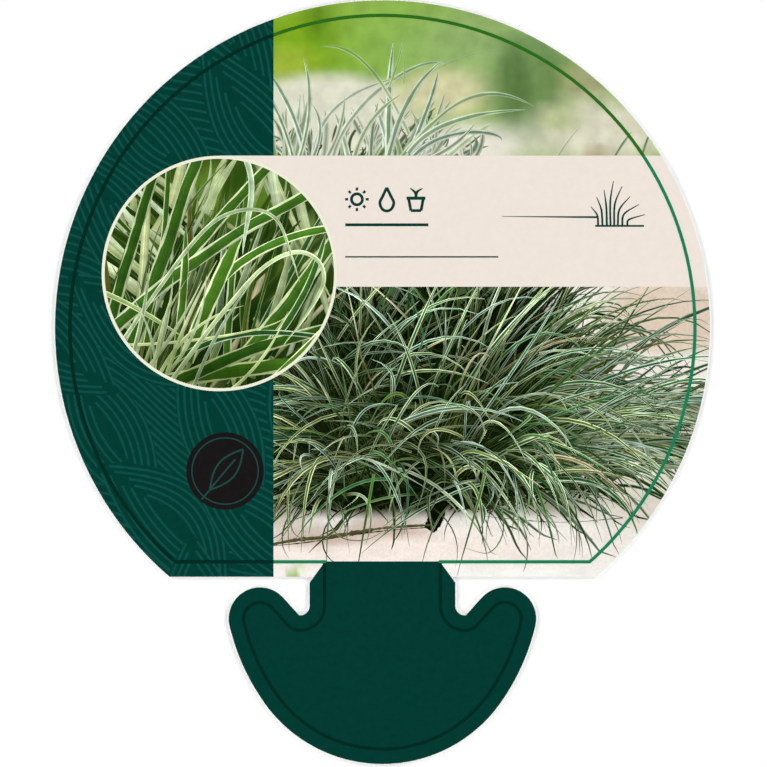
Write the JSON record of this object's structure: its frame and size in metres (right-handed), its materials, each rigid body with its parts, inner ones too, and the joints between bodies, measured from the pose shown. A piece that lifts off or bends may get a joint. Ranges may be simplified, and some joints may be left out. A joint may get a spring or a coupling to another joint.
{
  "type": "plant pot label",
  "caption": "Flat die-cut plastic plant label with a round printed head and a barbed tongue that hooks behind the slot in a flower pot's rim.",
  "frame": {"origin": "middle of the outline's bounding box, on the label's underside, which is the face that lies on the table", "axes": "+Z out of the printed face, +Y towards the top of the head, -Y towards the tip of the tongue, +X to the right as the print is read"},
  "size_m": [0.09, 0.105, 0.0005],
  "materials": {
    "label_plastic": "satin white polypropylene sheet",
    "deep_green_ink": "offset-printed deep green ink under a clear varnish",
    "cream_ink": "offset-printed warm cream tint under the same varnish",
    "picture_ink": "four-colour offset picture of grass under the same varnish"
  },
  "bodies": {
    "root": {"label_sheet": "label_plastic"}
  },
  "joints": []
}
